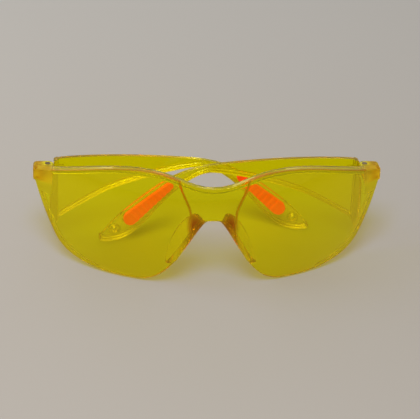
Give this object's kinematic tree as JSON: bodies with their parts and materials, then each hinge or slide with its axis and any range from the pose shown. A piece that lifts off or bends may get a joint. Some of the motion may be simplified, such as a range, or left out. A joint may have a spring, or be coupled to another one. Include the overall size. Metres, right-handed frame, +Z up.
{
  "type": "protective spectacles",
  "caption": "Wraparound protective spectacles with a tinted shield lens, folding side-shield temples and soft tip grips, standing folded.",
  "frame": {"origin": "on the floor, under the middle of the bounding box of the folded spectacles", "axes": "+X to the right and +Y to the back as seen from the front of the lens, +Z up; the lens faces -Y and leans back about 11 degrees; left and right are as seen from the front"},
  "size_m": [0.147, 0.0477, 0.0492],
  "materials": {
    "lens": "clear amber-yellow polycarbonate, polished",
    "temple": "clear amber-yellow polycarbonate, polished",
    "grip": "soft orange elastomer, satin",
    "pin": "plain steel"
  },
  "bodies": {
    "front": {"lens": "lens", "hinge_pin_left": "pin", "hinge_pin_right": "pin"},
    "left_temple": {"temple_left": "temple", "grip_left": "grip"},
    "right_temple": {"temple_right": "temple", "grip_right": "grip"}
  },
  "joints": [
    {"name": "left_hinge", "type": "hinge", "parent": "front", "child": "left_temple", "pos_m": [-0.0675, 0.01363, 0.03524], "axis": [0, 0.1938, 0.981], "range_deg": [0, 86.8]},
    {"name": "right_hinge", "type": "hinge", "parent": "front", "child": "right_temple", "pos_m": [0.0675, 0.01363, 0.03524], "axis": [0, -0.1938, -0.981], "range_deg": [0, 92.2]}
  ]
}
